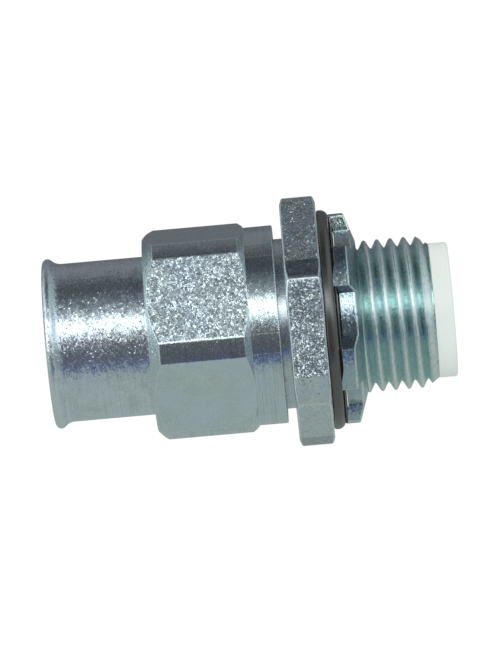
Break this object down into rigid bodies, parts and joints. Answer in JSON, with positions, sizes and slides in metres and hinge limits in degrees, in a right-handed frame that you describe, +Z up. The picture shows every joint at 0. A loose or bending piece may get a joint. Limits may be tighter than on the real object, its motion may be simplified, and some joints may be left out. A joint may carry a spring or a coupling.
{
  "type": "conduit compression fitting",
  "caption": "Raintight compression connector for half-inch thin-wall conduit: bell-mouth sleeve, gland nut, hex body with threaded hub, gasket, locknut and insulated throat.",
  "frame": {"origin": "centre of the hex flange's seating face, on the fitting's axis", "axes": "+X along the axis, out of the threaded hub; +Z up, square to one pair of the flange's flats; the conduit enters from -X"},
  "size_m": [0.0554, 0.0348, 0.0302],
  "materials": {
    "body_zinc": "zinc plated, grainy satin",
    "nut_zinc": "zinc plated, grainy satin",
    "sleeve_zinc": "zinc plated, fine sparkle",
    "washer_zinc": "zinc plated",
    "ring_steel": "zinc plated, hardened",
    "locknut_zinc": "zinc plated, stamped",
    "gasket_rubber": "glossy moulded",
    "black_rubber": "moulded",
    "nylon": "translucent white"
  },
  "bodies": {
    "hub": {"body": "body_zinc", "throat_insulator": "nylon"},
    "gland": {"bell_mouth_sleeve": "sleeve_zinc", "slip_washer": "washer_zinc", "sealing_ring": "black_rubber", "compression_ring": "ring_steel"},
    "nut": {"gland_nut": "nut_zinc"},
    "seal": {"sealing_gasket": "gasket_rubber"},
    "lock": {"locknut": "locknut_zinc"}
  },
  "joints": [
    {"name": "gland_slide", "type": "slide", "parent": "hub", "child": "gland", "axis": [1, 0, 0], "range_m": [-0.0085, 0.001]},
    {"name": "gland_nut_turn", "type": "hinge", "parent": "gland", "child": "nut", "pos_m": [0, 0, 0], "axis": [1, 0, 0], "range_deg": [-2160, 250]},
    {"name": "gasket_slide", "type": "slide", "parent": "hub", "child": "seal", "axis": [1, 0, 0], "range_m": [0, 0.0091]},
    {"name": "locknut_turn", "type": "hinge", "parent": "seal", "child": "lock", "pos_m": [0, 0, 0], "axis": [1, 0, 0], "range_deg": [0, 1800]}
  ],
  "couplings": [
    {"joint": "gland_slide", "follows": "gland_nut_turn", "m_per_rad": 0.00022458},
    {"joint": "gasket_slide", "follows": "locknut_turn", "m_per_rad": 0.00028875}
  ]
}
